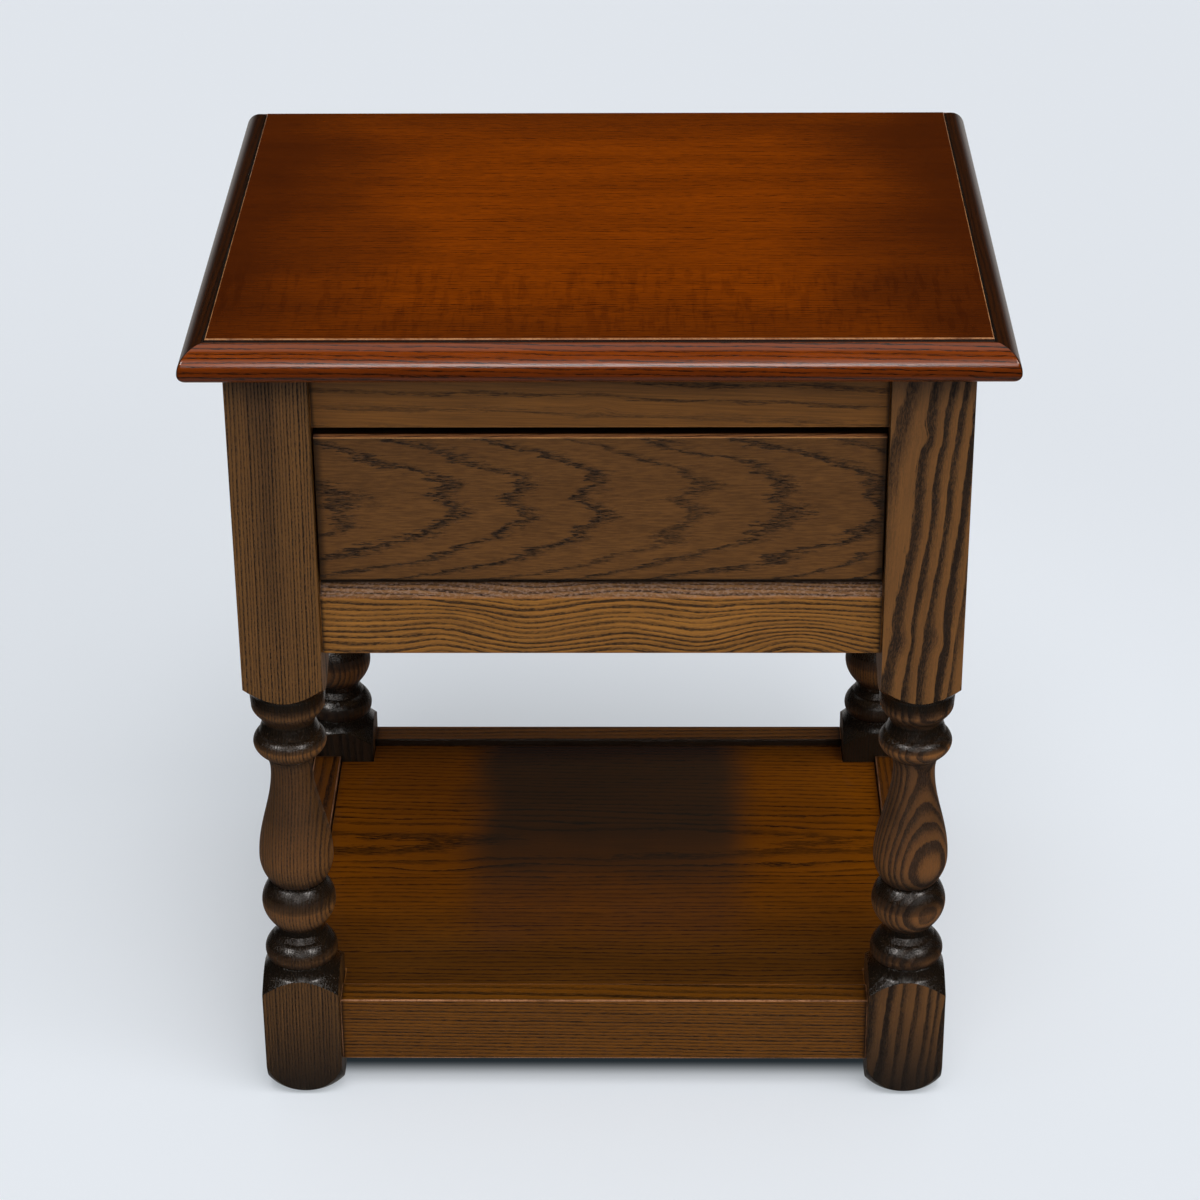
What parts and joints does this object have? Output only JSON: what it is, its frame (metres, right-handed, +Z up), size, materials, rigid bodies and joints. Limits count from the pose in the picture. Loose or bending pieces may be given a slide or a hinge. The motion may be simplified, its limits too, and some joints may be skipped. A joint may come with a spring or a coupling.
{
  "type": "lamp table",
  "caption": "Small oak lamp table with a thumb-moulded top, turned legs, a plain drawer without a pull and a low shelf inside a stretcher frame.",
  "frame": {"origin": "on the floor, under the middle of the table", "axes": "+Z up, -Y towards the front with the drawer, +X to the right seen from the front"},
  "size_m": [0.5042, 0.4196, 0.5609],
  "materials": {
    "top_field": "satin lacquered oak, warm red-brown, darker towards the edges",
    "top_moulding": "glossy dark red-brown oak with rubbed edges",
    "leg_oak": "mid-brown oak, open grain filled dark, near-black glaze in the turned hollows",
    "rail_oak": "mid-brown oak with open grain, satin",
    "drawer_front_oak": "dark brown oak with arched figure, satin",
    "panel_oak": "dark brown oak with arched figure, satin",
    "stretcher_oak": "mid-brown oak with rubbed edges, satin",
    "shelf_oak": "orange-brown oak, darker in the middle, satin lacquer",
    "drawer_lining": "plain unstained hardwood",
    "carcase_wood": "plain unstained hardwood",
    "screw_steel": "plain steel wood screws"
  },
  "bodies": {
    "frame": {"back_bottom_rail": "rail_oak", "back_panel": "panel_oak", "back_stretcher": "stretcher_oak", "back_top_rail": "rail_oak", "cleat_screw_back_left": "screw_steel", "cleat_screw_back_right": "screw_steel", "cleat_screw_front_left": "screw_steel", "cleat_screw_front_right": "screw_steel", "drawer_guide_left": "carcase_wood", "drawer_guide_right": "carcase_wood", "drawer_kicker_left": "carcase_wood", "drawer_kicker_right": "carcase_wood", "drawer_runner_left": "carcase_wood", "drawer_runner_right": "carcase_wood", "drawer_stop_left": "carcase_wood", "drawer_stop_right": "carcase_wood", "front_bottom_rail": "rail_oak", "front_stretcher": "stretcher_oak", "front_top_rail": "rail_oak", "kicker_screw_left": "screw_steel", "kicker_screw_right": "screw_steel", "left_bottom_rail": "rail_oak", "left_panel": "panel_oak", "left_stretcher": "stretcher_oak", "left_top_rail": "rail_oak", "leg_back_left": "leg_oak", "leg_back_right": "leg_oak", "leg_front_left": "leg_oak", "leg_front_right": "leg_oak", "right_bottom_rail": "rail_oak", "right_panel": "panel_oak", "right_stretcher": "stretcher_oak", "right_top_rail": "rail_oak", "runner_screw_back_left": "screw_steel", "runner_screw_back_right": "screw_steel", "runner_screw_front_left": "screw_steel", "runner_screw_front_right": "screw_steel", "shelf_board": "shelf_oak", "shelf_cleat_left": "carcase_wood", "shelf_cleat_right": "carcase_wood", "top_block_back_left": "carcase_wood", "top_block_back_right": "carcase_wood", "top_block_front_left": "carcase_wood", "top_block_front_right": "carcase_wood", "top_moulding_back": "top_moulding", "top_moulding_front": "top_moulding", "top_moulding_left": "top_moulding", "top_moulding_right": "top_moulding", "top_panel": "top_field", "top_screw_back_left": "screw_steel", "top_screw_back_right": "screw_steel", "top_screw_front_left": "screw_steel", "top_screw_front_right": "screw_steel"},
    "drawer": {"drawer_front": "drawer_front_oak", "drawer_side_left": "drawer_lining", "drawer_side_right": "drawer_lining", "drawer_back": "drawer_lining", "drawer_bottom": "drawer_lining"}
  },
  "joints": [
    {"name": "drawer_slide", "type": "slide", "parent": "frame", "child": "drawer", "axis": [0, -1, 0], "range_m": [0, 0.24]}
  ]
}
